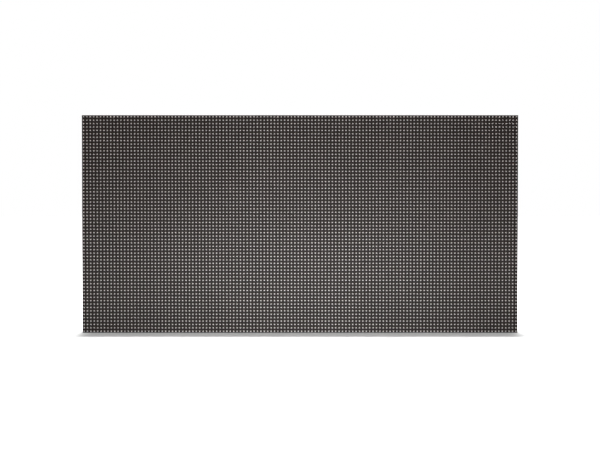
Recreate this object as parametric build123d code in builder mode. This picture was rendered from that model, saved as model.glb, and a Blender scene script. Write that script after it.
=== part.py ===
from build123d import *

import os

# RGB LED matrix panel of 128 by 64 lamps. From front to back it is a black slotted mask, a circuit
# board with the lamps on its face and the driver chips and connectors on its back, and a moulded
# frame that is screwed to nuts on the board. Openings in the frame let the cables reach the board.
# Sizes are in millimetres. +X runs along the long side, +Y out of the back and +Z up.
# The origin is the middle of the mounting inserts, on the plane that meets what carries the panel.

# Lamp grid
pitch = 2.5
channels = 16
blocks = 8
rows = 64
seam = 0.2

# Depths, added up from the rear plane to the front
frame_depth = 11.0
board_thickness = 1.6
lamp_height = 0.85
lamp_to_mask_gap = 0.05
mask_rib_thickness = 0.35

# Lamps and the mask around them
lamp_size = 1.5
lamp_side_gap = 0.1

# Frame moulding
board_setback = 0.15
wall = 2.0
floor_thickness = 2.0
chip_room = 2.5
ring_width = 12.0
bar_width = 12.0
spine_width = 16.0
bar_offset = 54.0
window_gusset = 4.0
web_thickness = 1.5
web_spacing = 24.0

# Mounting inserts and locating pins, both with a hexagonal body that the frame is moulded around
insert_inset = 8.0
insert_flats = 5.0
insert_length = 6.0
insert_bore = 2.5
boss_wall = 2.0
pin_inset = 32.0
locating_pin_diameter = 5.0
locating_pin_reach = 3.0
locating_pin_chamfer = 0.6
locating_pin_flats = 6.0
moulding_fit = 0.01

# Screws that hold the frame to nuts soldered on the board
screw_diameter = 2.5
screw_head_diameter = 4.8
screw_head_height = 1.7
screw_clearance = 0.15
screw_end_gap = 0.2
screw_web_gap = 0.8
thread_fit = 0.02
nut_flats = 5.0
screw_inset = 60.0

# Ribbon-cable sockets: two rows of pins in a keyed shroud
socket_length = 28.0
socket_width = 9.0
socket_height = 9.0
socket_wall = 1.3
socket_base = 2.6
socket_key_width = 4.5
socket_inset = 48.0
well_clearance = 1.5
pin_pitch = 2.54
pins_per_row = 8
pin_width = 0.64
pin_height = 8.4
pin_foot_reach = 1.0
pin_foot_thickness = 0.4
pin_fit = 0.02

# Power header: four square pins beside a locking wall
power_pin_pitch = 3.96
power_pins = 4
power_pin_width = 1.14
power_pin_height = 10.2
power_pin_foot = 0.8
power_base = 3.4
power_end = 1.96
power_width = 8.6
power_foot_width = 1.2
power_lock_height = 9.8
power_lock_thickness = 1.1
power_lock_slot = 2.0

# Capacitor cans beside the frame's two upright bars
can_diameter = 6.3
can_height = 7.7
can_base_size = 6.6
can_base_height = 1.2
can_base_chamfer = 1.3
can_bar_gap = 1.2
can_spine_gap = 2.7

# Chips, each a moulded body that stands a little off the board: width, height up the panel, depth
chip_standoff = 0.1
chip_draft = 7.0
driver_size = (8.65, 3.9, 1.5)
driver_height = 20.0
driver_spacing = 16.0
drivers_per_half = 3
row_chip_size = (3.9, 9.9, 1.5)
row_chip_height = 20.0
row_chip_spacing = 32.0
buffer_size = (4.4, 6.5, 1.0)
buffer_from_socket = 20.0
buffer_level = 12.0

# What follows from those sizes
columns = channels * blocks
block_width = channels * pitch
panel_width = columns * pitch - seam
panel_height = rows * pitch - seam
board_back = frame_depth
board_front = board_back + board_thickness
mask_back = board_front + lamp_height + lamp_to_mask_gap
mask_front = mask_back + mask_rib_thickness
floor_front = board_back - chip_room
floor_back = floor_front - floor_thickness

mask_opening = lamp_size + 2 * lamp_side_gap
mask_rim = (pitch - mask_opening - seam) / 2
board_width = panel_width - 2 * board_setback
board_height = panel_height - 2 * board_setback
inner_width = panel_width - 2 * ring_width
inner_height = panel_height - 2 * ring_width
ring_middle_x = (panel_width - ring_width) / 2
ring_middle_z = (panel_height - ring_width) / 2

insert_x = columns * pitch / 2 - insert_inset
insert_z = rows * pitch / 2 - insert_inset
locating_pin_x = columns * pitch / 2 - pin_inset
screw_x = columns * pitch / 2 - screw_inset
socket_x = columns * pitch / 2 - socket_inset
buffer_x = socket_x - buffer_from_socket
row_chip_x = 2 * block_width

well_width = socket_width + 2 * well_clearance
well_length = socket_length + 2 * well_clearance
power_length = (power_pins - 1) * power_pin_pitch + 2 * power_end
power_well_length = power_length + 2 * wall
power_well_width = spine_width - 2 * wall

insert_spots = [(x, z) for x in (-insert_x, 0, insert_x) for z in (-insert_z, insert_z)]
locating_pin_spots = [(-locating_pin_x, -ring_middle_z), (locating_pin_x, ring_middle_z)]
screw_spots = [(x, z) for x in (-screw_x, screw_x) for z in (-ring_middle_z, ring_middle_z)]
socket_spots = [(-socket_x, 0), (socket_x, 0)]


def across(depth):
    """Plane across the panel, that far ahead of the rear plane, drawn as the front is seen."""
    return Plane.XZ.offset(depth)


def save(piece, name):
    piece.part.label = name
    export_step(piece.part, f"parts/{name}.step")


def hexagon(flats):
    """Hexagon of that width across its flats, with one flat up and one down."""
    RegularPolygon(flats / 2, 6, major_radius=False)


def make_front_mask():
    """Black mask: a shallow tray over the lamps, with one slot for each row and a rim bonded to the board."""
    with BuildPart() as mask:
        with BuildSketch(across(board_front)):
            Rectangle(panel_width, panel_height)
        extrude(amount=mask_front - board_front)
        with BuildSketch(across(board_front)):
            Rectangle(panel_width - 2 * mask_rim, panel_height - 2 * mask_rim)
        extrude(amount=mask_back - board_front, mode=Mode.SUBTRACT)
        with BuildSketch(across(mask_back)):
            with GridLocations(0, pitch, 1, rows):
                Rectangle(panel_width - 2 * mask_rim, mask_opening)
        extrude(amount=mask_rib_thickness, mode=Mode.SUBTRACT)
    save(mask, "front_mask")


def make_circuit_board():
    """Board of glass-filled laminate. All that it carries is soldered on, so nothing pierces it."""
    with BuildPart() as board:
        with BuildSketch(across(board_back)):
            Rectangle(board_width, board_height)
        extrude(amount=board_thickness)
    save(board, "circuit_board")


def block_middle(block):
    return (block - (blocks - 1) / 2) * block_width


def make_lamp_columns(block):
    """Sixteen columns of lamps. The lamps of a column stand so close that it is one straight ridge."""
    with BuildPart() as lamps:
        with BuildSketch(across(board_front)):
            with Locations((block_middle(block), 0)):
                with GridLocations(pitch, 0, channels, 1):
                    Rectangle(lamp_size, (rows - 1) * pitch + lamp_size)
        extrude(amount=lamp_height)
    save(lamps, f"lamp_columns_{block + 1}")


def make_chips(name, spots, size):
    """Moulded chip bodies behind the board, with the draft of their mould on all four sides."""
    width, height, depth = size
    with BuildPart() as chips:
        with BuildSketch(across(board_back - chip_standoff)):
            with Locations(*spots):
                Rectangle(width, height)
        extrude(amount=-depth, taper=chip_draft)
    save(chips, name)


def driver_spots(block):
    """Three drivers above the middle line and three below, one for each lamp colour."""
    levels = [driver_height + n * driver_spacing for n in range(drivers_per_half)]
    return [(block_middle(block), side * z) for side in (-1, 1) for z in levels]


def make_socket(name, x, key_side):
    """Keyed shroud of a ribbon-cable socket, upright, with a slot in its base for each row of pins."""
    with BuildPart() as shroud:
        with BuildSketch(across(board_back - pin_foot_thickness)):
            with Locations((x, 0)):
                Rectangle(socket_width, socket_length)
        extrude(amount=pin_foot_thickness - socket_height)
        with BuildSketch(across(board_back)):
            with Locations((x, 0)):
                with GridLocations(0, socket_length - socket_wall, 1, 2):
                    Rectangle(socket_width, socket_wall)
        extrude(amount=-pin_foot_thickness)
        with BuildSketch(across(board_back - socket_base)):
            with Locations((x, 0)):
                Rectangle(socket_width - 2 * socket_wall, socket_length - 2 * socket_wall)
            with Locations((x + key_side * (socket_width - socket_wall) / 2, 0)):
                Rectangle(socket_wall, socket_key_width)
        extrude(amount=socket_base - socket_height, mode=Mode.SUBTRACT)
        with BuildSketch(across(board_back)):
            with Locations((x, 0)):
                with GridLocations(pin_pitch, 0, 2, 1):
                    Rectangle(pin_width + 2 * pin_fit, pins_per_row * pin_pitch)
        extrude(amount=-socket_base, mode=Mode.SUBTRACT)
    save(shroud, name)


def make_socket_pins(name, x):
    """Two rows of bent pins: each stands in the shroud and turns outwards to a foot on the board."""
    inner = (pin_pitch - pin_width) / 2
    outer = socket_width / 2 + pin_foot_reach
    with BuildPart() as pins:
        for step in range(pins_per_row):
            level = (step - (pins_per_row - 1) / 2) * pin_pitch - pin_width / 2
            with BuildSketch(Plane((x, -board_back, level))):
                with BuildLine():
                    Polyline(
                        (inner, 0),
                        (outer, 0),
                        (outer, pin_foot_thickness),
                        (inner + pin_width, pin_foot_thickness),
                        (inner + pin_width, pin_height),
                        (inner, pin_height),
                        close=True,
                    )
                make_face()
                mirror(about=Plane.YZ)
            extrude(amount=pin_width)
    save(pins, name)


def make_power_header():
    """White power header: a thick base on two end feet, with a slotted locking wall along its lower side."""
    with BuildPart() as header:
        with BuildSketch(across(board_back - power_pin_foot)):
            Rectangle(power_length, power_width)
        extrude(amount=power_pin_foot - power_base)
        with BuildSketch(across(board_back)):
            with GridLocations(power_length - power_foot_width, 0, 2, 1):
                Rectangle(power_foot_width, power_width)
        extrude(amount=-power_pin_foot)
        with BuildSketch(across(board_back - power_base)):
            with Locations((0, (power_lock_thickness - power_width) / 2)):
                Rectangle(power_length, power_lock_thickness)
                with GridLocations(2 * power_pin_pitch, 0, 2, 1):
                    Rectangle(power_lock_slot, power_lock_thickness, mode=Mode.SUBTRACT)
        extrude(amount=power_base - power_lock_height)
        with BuildSketch(across(board_back)):
            with GridLocations(power_pin_pitch, 0, power_pins, 1):
                Rectangle(power_pin_width + 2 * pin_fit, power_pin_width + 2 * pin_fit)
        extrude(amount=-power_base, mode=Mode.SUBTRACT)
    save(header, "power_header")


def make_power_pins():
    """Four square pins that stand in the power header and turn upwards to a foot on the board."""
    half = power_pin_width / 2
    reach = power_width / 2 + pin_foot_reach
    with BuildPart() as pins:
        for step in range(power_pins):
            middle = (step - (power_pins - 1) / 2) * power_pin_pitch
            with BuildSketch(Plane((middle - half, -board_back, 0), x_dir=(0, 1, 0), z_dir=(1, 0, 0))):
                with BuildLine():
                    Polyline(
                        (0, -half),
                        (0, reach),
                        (power_pin_foot, reach),
                        (power_pin_foot, half),
                        (power_pin_height, half),
                        (power_pin_height, -half),
                        close=True,
                    )
                make_face()
            extrude(amount=power_pin_width)
    save(pins, "power_pins")


def can_spots():
    """One can in each inner corner of the middle windows, clear of the upright bar and of the spine."""
    x = bar_offset - bar_width / 2 - can_bar_gap - can_base_size / 2
    z = spine_width / 2 + can_spine_gap + can_base_size / 2
    return [(-x, -z), (-x, z), (x, -z), (x, z)]


def make_capacitor_bases():
    """Square plinths of the capacitor cans, with two corners cut to mark the positive lead."""
    with BuildPart() as bases:
        for spot in can_spots():
            with BuildSketch(across(board_back)) as plinth:
                with Locations(spot):
                    Rectangle(can_base_size, can_base_size)
                chamfer(plinth.vertices().sort_by(Axis.Y)[-2:], length=can_base_chamfer)
            extrude(amount=-can_base_height)
    save(bases, "capacitor_bases")


def make_capacitor_cans():
    """Drawn aluminium cans standing on their plinths."""
    with BuildPart() as cans:
        with BuildSketch(across(board_back - can_base_height)):
            with Locations(*can_spots()):
                Circle(can_diameter / 2)
        extrude(amount=can_base_height - can_height)
    save(cans, "capacitor_cans")


def make_board_nuts():
    """Threaded hexagonal nuts soldered to the board, as tall as the room that the frame leaves for chips."""
    with BuildPart() as nuts:
        with BuildSketch(across(board_back)):
            with Locations(*screw_spots):
                hexagon(nut_flats)
                Circle(screw_diameter / 2 + thread_fit, mode=Mode.SUBTRACT)
        extrude(amount=-chip_room)
    save(nuts, "board_nuts")


def make_frame_screws():
    """Pan-head screws: the head bears on the frame's floor and the shank runs into a soldered nut."""
    with BuildPart() as screws:
        with BuildSketch(across(floor_back)):
            with Locations(*screw_spots):
                Circle(screw_head_diameter / 2)
        extrude(amount=-screw_head_height)
        with BuildSketch(across(floor_back)):
            with Locations(*screw_spots):
                Circle(screw_diameter / 2)
        extrude(amount=floor_thickness + chip_room - screw_end_gap)
    save(screws, "frame_screws")


def make_mounting_inserts():
    """Threaded brass inserts moulded into the frame, flush with its rear plane."""
    with BuildPart() as inserts:
        with BuildSketch(across(0)):
            with Locations(*insert_spots):
                hexagon(insert_flats)
                Circle(insert_bore / 2, mode=Mode.SUBTRACT)
        extrude(amount=insert_length)
    save(inserts, "mounting_inserts")


def make_locating_pins():
    """Two pins on a diagonal that set the panel's place: a hexagonal body, a round stem and a lead-in."""
    with BuildPart() as pins:
        with BuildSketch(across(0)):
            with Locations(*locating_pin_spots):
                hexagon(locating_pin_flats)
        extrude(amount=insert_length)
        with BuildSketch(across(0)):
            with Locations(*locating_pin_spots):
                Circle(locating_pin_diameter / 2)
        extrude(amount=locating_pin_chamfer - locating_pin_reach)
        with BuildSketch(across(locating_pin_chamfer - locating_pin_reach)):
            with Locations(*locating_pin_spots):
                Circle(locating_pin_diameter / 2)
        extrude(amount=-locating_pin_chamfer, taper=45)
    save(pins, "locating_pins")


def window_outline(width, height):
    """One window of the frame, with a gusset across each corner."""
    with BuildSketch() as window:
        Rectangle(width, height)
        chamfer(window.vertices(), length=window_gusset)
    return window.sketch


def draw_frame_plan(middle_window, outer_window):
    """Outline of the frame: ring, middle spine, two upright bars and the cable wells."""
    window_z = (inner_height + spine_width) / 4
    outer_x = (inner_width / 2 + bar_offset + bar_width / 2) / 2
    Rectangle(panel_width, panel_height)
    with Locations((0, -window_z), (0, window_z)):
        add(middle_window, mode=Mode.SUBTRACT)
    with GridLocations(2 * outer_x, 2 * window_z, 2, 2):
        add(outer_window, mode=Mode.SUBTRACT)
    with Locations(*socket_spots):
        Rectangle(well_width + 2 * wall, well_length + 2 * wall)
        Rectangle(well_width, well_length, mode=Mode.SUBTRACT)
    Rectangle(power_well_length, power_well_width, mode=Mode.SUBTRACT)


def web_middles(length):
    """Even steps to both sides of the middle, as many as fit the length."""
    half_steps = int(length / web_spacing / 2)
    return [side * (n + 0.5) * web_spacing for n in range(half_steps) for side in (-1, 1)]


def clear_of_screws(spots):
    """The webs that leave every screw head room to turn."""
    reach = (screw_head_diameter + web_thickness) / 2 + screw_web_gap
    return [(x, z) for x, z in spots if all(max(abs(x - a), abs(z - b)) > reach for a, b in screw_spots)]


def draw_channel_plan():
    """The hollows that lighten the ring, spine and bars from behind, between walls and cross webs."""
    Rectangle(panel_width - 2 * wall, panel_height - 2 * wall)
    Rectangle(inner_width + 2 * wall, inner_height + 2 * wall, mode=Mode.SUBTRACT)
    Rectangle(inner_width + 2 * wall, spine_width - 2 * wall)
    with Locations((-bar_offset, 0), (bar_offset, 0)):
        Rectangle(bar_width - 2 * wall, inner_height + 2 * wall)
    levels = (-ring_middle_z, 0, ring_middle_z)
    with Locations(*clear_of_screws([(x, z) for x in web_middles(panel_width) for z in levels])):
        Rectangle(web_thickness, spine_width, mode=Mode.SUBTRACT)
    bar_middles = (-ring_middle_x, -bar_offset, bar_offset, ring_middle_x)
    with Locations(*clear_of_screws([(x, z) for x in bar_middles for z in web_middles(inner_height)])):
        Rectangle(bar_width, web_thickness, mode=Mode.SUBTRACT)
    with Locations(*socket_spots):
        Rectangle(well_width + 2 * wall, well_length + 2 * wall, mode=Mode.SUBTRACT)
    Rectangle(power_well_length + 2 * wall, spine_width, mode=Mode.SUBTRACT)
    with Locations(*insert_spots):
        RegularPolygon(insert_flats / 2 + boss_wall, 6, major_radius=False, mode=Mode.SUBTRACT)
    with Locations(*locating_pin_spots):
        RegularPolygon(locating_pin_flats / 2 + boss_wall, 6, major_radius=False, mode=Mode.SUBTRACT)


def make_rear_frame():
    """Moulded frame: open channels behind a floor, a skirt that meets the board, and hexagonal bosses."""
    window_height = (inner_height - spine_width) / 2
    middle_window = window_outline(2 * bar_offset - bar_width, window_height)
    outer_window = window_outline(inner_width / 2 - bar_offset - bar_width / 2, window_height)
    with BuildPart() as frame:
        with BuildSketch(across(floor_front)):
            draw_frame_plan(middle_window, outer_window)
        extrude(amount=-floor_front)
        with BuildSketch(across(floor_back)):
            draw_channel_plan()
        extrude(amount=-floor_back, mode=Mode.SUBTRACT)
        with BuildSketch(across(board_back)):
            Rectangle(panel_width, panel_height)
            Rectangle(panel_width - 2 * wall, panel_height - 2 * wall, mode=Mode.SUBTRACT)
        extrude(amount=-chip_room)
        with BuildSketch(across(floor_front)):
            with Locations(*screw_spots):
                Circle(screw_diameter / 2 + screw_clearance)
        extrude(amount=-floor_thickness, mode=Mode.SUBTRACT)
        with BuildSketch(across(0)):
            with Locations(*insert_spots):
                hexagon(insert_flats + 2 * moulding_fit)
            with Locations(*locating_pin_spots):
                hexagon(locating_pin_flats + 2 * moulding_fit)
        extrude(amount=insert_length + moulding_fit, mode=Mode.SUBTRACT)
    save(frame, "rear_frame")


os.makedirs("parts", exist_ok=True)
make_front_mask()
make_circuit_board()
for number in range(blocks):
    make_lamp_columns(number)
    make_chips(f"driver_chips_{number + 1}", driver_spots(number), driver_size)
row_chip_levels = (row_chip_height, row_chip_height + row_chip_spacing)
for half, side in (("upper", 1), ("lower", -1)):
    row_chip_spots = [(x, side * z) for x in (-row_chip_x, row_chip_x) for z in row_chip_levels]
    make_chips(f"row_chips_{half}", row_chip_spots, row_chip_size)
for end, side in (("input", -1), ("output", 1)):
    buffer_spots = [(side * buffer_x, -buffer_level), (side * buffer_x, buffer_level)]
    make_chips(f"buffer_chips_{end}", buffer_spots, buffer_size)
    make_socket(f"ribbon_socket_{end}", side * socket_x, side)
    make_socket_pins(f"socket_pins_{end}", side * socket_x)
make_power_header()
make_power_pins()
make_capacitor_bases()
make_capacitor_cans()
make_board_nuts()
make_frame_screws()
make_mounting_inserts()
make_locating_pins()
make_rear_frame()
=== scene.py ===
# %% [markdown]
# An RGB LED matrix panel, dressed over its construction model. The front is a black mask with 8,192
# square openings, each with one lamp package behind it. The back is a moulded frame over a circuit
# board. The construction model gives every size. This script adds what is too fine for it: single lamps,
# the mask's lattice, chip legs, small parts, copper tracks, recesses and all the finishes.

# %% Load the frame
import bpy
import bmesh
import math
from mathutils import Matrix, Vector


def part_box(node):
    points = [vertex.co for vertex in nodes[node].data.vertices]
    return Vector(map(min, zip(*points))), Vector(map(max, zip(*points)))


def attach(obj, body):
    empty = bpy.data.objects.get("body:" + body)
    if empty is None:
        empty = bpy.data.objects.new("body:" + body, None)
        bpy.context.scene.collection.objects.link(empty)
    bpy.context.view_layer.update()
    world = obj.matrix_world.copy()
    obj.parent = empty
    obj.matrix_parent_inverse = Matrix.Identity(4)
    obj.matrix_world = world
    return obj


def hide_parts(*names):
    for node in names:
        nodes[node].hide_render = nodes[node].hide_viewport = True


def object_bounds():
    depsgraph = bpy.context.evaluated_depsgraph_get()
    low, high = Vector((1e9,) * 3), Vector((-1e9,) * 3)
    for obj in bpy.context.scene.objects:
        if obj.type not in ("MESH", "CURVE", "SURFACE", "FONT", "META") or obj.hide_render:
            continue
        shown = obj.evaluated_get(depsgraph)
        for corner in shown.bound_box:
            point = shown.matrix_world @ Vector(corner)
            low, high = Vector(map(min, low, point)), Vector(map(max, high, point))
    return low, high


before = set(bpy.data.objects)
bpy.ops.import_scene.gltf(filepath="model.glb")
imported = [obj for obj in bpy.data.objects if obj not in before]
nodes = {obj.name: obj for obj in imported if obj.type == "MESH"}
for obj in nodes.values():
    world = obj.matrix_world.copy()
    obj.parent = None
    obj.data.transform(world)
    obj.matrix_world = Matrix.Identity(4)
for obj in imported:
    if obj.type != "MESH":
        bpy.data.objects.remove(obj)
construction_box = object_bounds()
MM = 0.001
ROOT = "root"
print("construction box", construction_box)

# %% [markdown]
# Every place is read from the construction model's boxes, so that nothing needs fitting by eye. The
# lamp grid is the one thing that its boxes don't tell, so its count and pitch are named here.

# %% Measures
PITCH = 2.5 * MM
COLUMNS = 128
ROWS = 64
BLOCKS = 8
mask_low, mask_high = (Vector(corner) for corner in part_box("front_mask"))
board_low, board_high = (Vector(corner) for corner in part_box("circuit_board"))
lamp_low = Vector(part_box("lamp_columns_1")[0])
FLOOR_LEVEL = construction_box[0][2]
MASK_FRONT = mask_low.y
BOARD_FRONT = board_low.y
BOARD_BACK = board_high.y
LAMP_TOP = lamp_low.y
print("mask front", MASK_FRONT, "lamp top", LAMP_TOP)
print("board", BOARD_FRONT, BOARD_BACK, "floor", FLOOR_LEVEL)

# %% [markdown]
# Blender draws a face from both sides. A face that looks inwards stays unseen in a render, and shows up
# only where the model is used elsewhere. So `mesh_piece`, which makes one object from points and faces,
# tests every piece first. In a closed part each edge is used once in each direction, and the volume is
# above zero where the faces look outwards.

# %% One tested object from points and faces
def part_numbers(count, faces):
    """For every point the number of its loose part, which is that of one of the part's points."""
    part = list(range(count))

    def first(k):
        while part[k] != k:
            part[k] = part[part[k]]
            k = part[k]
        return k

    for face in faces:
        for k in face[1:]:
            part[first(k)] = first(face[0])
    return [first(k) for k in range(count)]


def check_closed(name, points, faces):
    """Stops the script unless every loose part is closed and all its faces look outwards."""
    edges = {pair for face in faces for pair in zip(face, face[1:] + face[:1])}
    if len(edges) < sum(len(face) for face in faces) or any((b, a) not in edges for a, b in edges):
        raise ValueError(f"{name} is open, or neighbouring faces look opposite ways")
    part = part_numbers(len(points), faces)
    volumes = dict.fromkeys(part, 0.0)
    for face in faces:
        home = part[face[0]]
        a, *others = (Vector(points[k]) - Vector(points[home]) for k in face)
        volumes[home] += sum(a.dot(b.cross(c)) for b, c in zip(others, others[1:]))
    if min(volumes.values()) <= 0.0:
        raise ValueError(f"{name} has a part whose faces look inwards")
    print(name, "closed parts", len(volumes), "faces", len(faces))


def mesh_piece(name, points, faces, materials, indices=None, smooth=None, slot=None):
    """One object from points and faces, with a material slot for each material."""
    check_closed(name, points, faces)
    mesh = bpy.data.meshes.new(name)
    mesh.from_pydata(points, [], faces)
    for material in materials:
        mesh.materials.append(material)
    if indices:
        mesh.polygons.foreach_set("material_index", indices)
    if smooth:
        mesh.polygons.foreach_set("use_smooth", smooth)
    mesh.update()
    piece = bpy.data.objects.new(name, mesh)
    bpy.context.scene.collection.objects.link(piece)
    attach(piece, ROOT)
    return piece


# %% [markdown]
# The panel has thousands of equal small parts. One object for each would be slow to load and to render,
# and an array modifier only repeats at even steps. So `grown` copies the points of a small shape to every
# place that it is given, and `joined` puts different shapes into one.

# %% Repeating, joining and rounding
def joined(shapes):
    """Several (points, faces) shapes as one."""
    all_points = []
    all_faces = []
    for points, faces in shapes:
        start = len(all_points)
        all_points += points
        all_faces += [tuple(start + k for k in face) for face in faces]
    return all_points, all_faces


def grown(points, faces, places):
    """The same small shape at every place, as one shape."""
    return joined([
        ([(px + x, py + y, pz + z) for px, py, pz in points], faces)
        for x, y, z in places
    ])


def circle(radius, sides, start=0.0):
    """Points (x, z) round a circle, counter-clockwise as seen from the front."""
    angles = [2 * math.pi * (k + start) / sides for k in range(sides)]
    return [(radius * math.cos(angle), radius * math.sin(angle)) for angle in angles]


print("a circle of four points", circle(1.0, 4))

# %% [markdown]
# Finishes are node materials, so that colour, roughness and bump vary across a surface as they do on
# moulded plastic or metal. Trees of nodes are long to write out. `Nodes` has a short call for each kind
# of node that is used here, and `Finish` is a material that starts from one Principled shader.

# %% Helpers for node trees
class Nodes:
    """Short calls that add a node to a tree and link it."""

    def __init__(self, tree):
        self.tree = tree

    def node(self, kind, **settings):
        made = self.tree.nodes.new(kind)
        for key, value in settings.items():
            setattr(made, key, value)
        return made

    def link(self, source, target):
        self.tree.links.new(source, target)

    def parts(self, vector):
        """The outputs X, Y and Z of a vector."""
        made = self.node("ShaderNodeSeparateXYZ")
        self.link(vector, made.inputs["Vector"])
        return made.outputs

    def span(self, value, low, high, start=0.0, end=1.0, **settings):
        """A value that runs from start to end, stretched to run from low to high."""
        made = self.node("ShaderNodeMapRange", **settings)
        self.link(value, made.inputs["Value"])
        for socket, number in (("From Min", start), ("From Max", end), ("To Min", low), ("To Max", high)):
            made.inputs[socket].default_value = number
        return made.outputs["Result"]

    def math(self, operation, *values):
        """One sum. Each value is a number or a socket."""
        made = self.node("ShaderNodeMath", operation=operation)
        for socket, value in zip(made.inputs, values):
            if isinstance(value, (int, float)):
                socket.default_value = value
            else:
                self.link(value, socket)
        return made.outputs["Value"]

    def ramp(self, value, stops):
        """Colours blended along a value. stops are (position, colour)."""
        made = self.node("ShaderNodeValToRGB")
        self.link(value, made.inputs["Fac"])
        for element, (position, colour) in zip(made.color_ramp.elements, stops):
            element.position = position
            element.color = (*colour, 1.0)
        return made.outputs["Color"]

    def mix(self, amount, first, second):
        """Two colours blended by an amount. A colour is a tuple or a socket."""
        made = self.node("ShaderNodeMix", data_type="RGBA")
        self.link(amount, made.inputs["Factor"])
        for index, colour in ((6, first), (7, second)):
            if isinstance(colour, tuple):
                made.inputs[index].default_value = (*colour, 1.0)
            else:
                self.link(colour, made.inputs[index])
        return made.outputs[2]


class Finish(Nodes):
    """A node material that starts from one Principled shader."""

    def __init__(self, name, **values):
        self.material = bpy.data.materials.new(name)
        self.material.use_nodes = True
        super().__init__(self.material.node_tree)
        self.tree.nodes.clear()
        self.shader = self.node("ShaderNodeBsdfPrincipled")
        output = self.node("ShaderNodeOutputMaterial")
        self.link(self.shader.outputs["BSDF"], output.inputs["Surface"])
        self.place = self.node("ShaderNodeTexCoord").outputs["Object"]
        for socket, value in values.items():
            self.shader.inputs[socket.replace("_", " ")].default_value = value

    def noise(self, scale, detail=3.0):
        """Noise over the object's own coordinates, as a value around a half."""
        made = self.node("ShaderNodeTexNoise")
        self.link(self.place, made.inputs["Vector"])
        for socket, number in (("Scale", scale), ("Detail", detail), ("Roughness", 0.55)):
            made.inputs[socket].default_value = number
        return made.outputs["Fac"]

    def colour(self, socket):
        self.link(socket, self.shader.inputs["Base Color"])

    def rough(self, socket):
        self.link(socket, self.shader.inputs["Roughness"])

    def bump(self, height, strength, distance):
        made = self.node("ShaderNodeBump")
        made.inputs["Strength"].default_value = strength
        made.inputs["Distance"].default_value = distance
        self.link(height, made.inputs["Height"])
        self.link(made.outputs["Normal"], self.shader.inputs["Normal"])


print("node helpers made")

# %% [markdown]
# Most of the panel is black plastic, and no two of its plastics are alike. The mask is the darkest, because
# stray light on it would spoil the picture. The frame has a coarse grain from its mould, and chips are
# dull epoxy. One flat black would make them a single shape. So `plastic` blends two tones and two glosses
# by a slow noise, and presses a fine grain in by bump.

# %% Plastics
def plastic(name, dark, light, rough_low, rough_high, grain=2500.0, depth=0.00003, **values):
    """Moulded plastic: a fine grain from the mould and a slow change of tone and gloss."""
    finish = Finish(name, **values)
    slow = finish.noise(60.0)
    finish.colour(finish.ramp(slow, ((0.3, dark), (0.7, light))))
    finish.rough(finish.span(slow, rough_low, rough_high))
    finish.bump(finish.noise(grain, 2.0), 0.35, depth)
    return finish.material


MASK_BLACK = plastic(
    "mask_black", (0.0096, 0.0066, 0.0056), (0.0126, 0.0090, 0.0078), 0.52, 0.62, 3200.0, 0.00004,
    Specular_IOR_Level=0.12,
)
PACKAGE_BLACK = plastic(
    "package_black", (0.0120, 0.0095, 0.0086), (0.0140, 0.0103, 0.0093), 0.6, 0.7, 6000.0,
    Specular_IOR_Level=0.12,
)
FRAME_BLACK = plastic(
    "frame_black", (0.013, 0.013, 0.0135), (0.022, 0.022, 0.0227), 0.46, 0.64, 1800.0, 0.00025,
    Specular_IOR_Level=0.27,
)
EPOXY = plastic("chip_epoxy", (0.020, 0.020, 0.021), (0.030, 0.030, 0.031), 0.55, 0.7, 7000.0, 0.00002)
POLISHED_EPOXY = plastic(
    "polished_epoxy", (0.016, 0.016, 0.017), (0.020, 0.020, 0.021), 0.25, 0.32, 3000.0, 0.000005,
)
SOCKET_BLACK = plastic(
    "socket_black", (0.014, 0.014, 0.0145), (0.020, 0.020, 0.0205), 0.35, 0.48, 2000.0,
)
PLINTH = plastic("plinth_black", (0.018, 0.018, 0.0185), (0.026, 0.026, 0.027), 0.45, 0.55)
NYLON = plastic("header_nylon", (0.70, 0.68, 0.61), (0.80, 0.78, 0.72), 0.35, 0.5, 1200.0)
print("plastics made, the darkest", MASK_BLACK.name)

# %% [markdown]
# The board's coating lies over its copper, so tracks and hole rings are no metal to the eye: they are a
# paler stretch of the same coating. Ink, ceramic and glaze are dull and even too. The recipe for plastic
# fits all of them, with a shallower grain.

# %% Coatings, ink and ceramic
COPPER_TRACK = plastic(
    "coated_track", (0.036, 0.042, 0.037), (0.048, 0.055, 0.050), 0.34, 0.44, 900.0, 0.000005,
)
HOLE_RING = plastic(
    "coated_hole_ring", (0.045, 0.043, 0.034), (0.060, 0.057, 0.046), 0.25, 0.35, 900.0, 0.000005,
)
SILK_INK = plastic(
    "outline_ink", (0.62, 0.62, 0.60), (0.72, 0.72, 0.70), 0.55, 0.65, 3000.0, 0.000003,
)
MARK_INK = plastic("mark_ink", (0.010, 0.010, 0.010), (0.014, 0.014, 0.014), 0.5, 0.6)
CERAMIC = plastic("tan_ceramic", (0.36, 0.25, 0.16), (0.45, 0.33, 0.22), 0.4, 0.55, 5000.0, 0.00001)
GLAZE = plastic(
    "resistor_glaze", (0.010, 0.010, 0.011), (0.016, 0.016, 0.017), 0.22, 0.3, 5000.0, 0.00001,
)
print("coatings made, the palest", SILK_INK.name)

# %% [markdown]
# Metal shows its surroundings, so its finish is mostly gloss. Tin on the legs is brighter than solder,
# turned brass is warm, and the cans are drawn aluminium. A mirror-smooth metal looks like chrome. Here one
# noise drives colour, gloss and bump together, so that a worn spot is also darker and duller.

# %% Metals
def metal(name, dark, light, rough_low, rough_high, grain=900.0):
    """Plated or turned metal with faint wear in its gloss."""
    finish = Finish(name, Metallic=1.0)
    worn = finish.noise(grain, 4.0)
    finish.colour(finish.ramp(worn, ((0.3, dark), (0.7, light))))
    finish.rough(finish.span(worn, rough_low, rough_high))
    finish.bump(worn, 0.2, 0.00001)
    return finish.material


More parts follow.
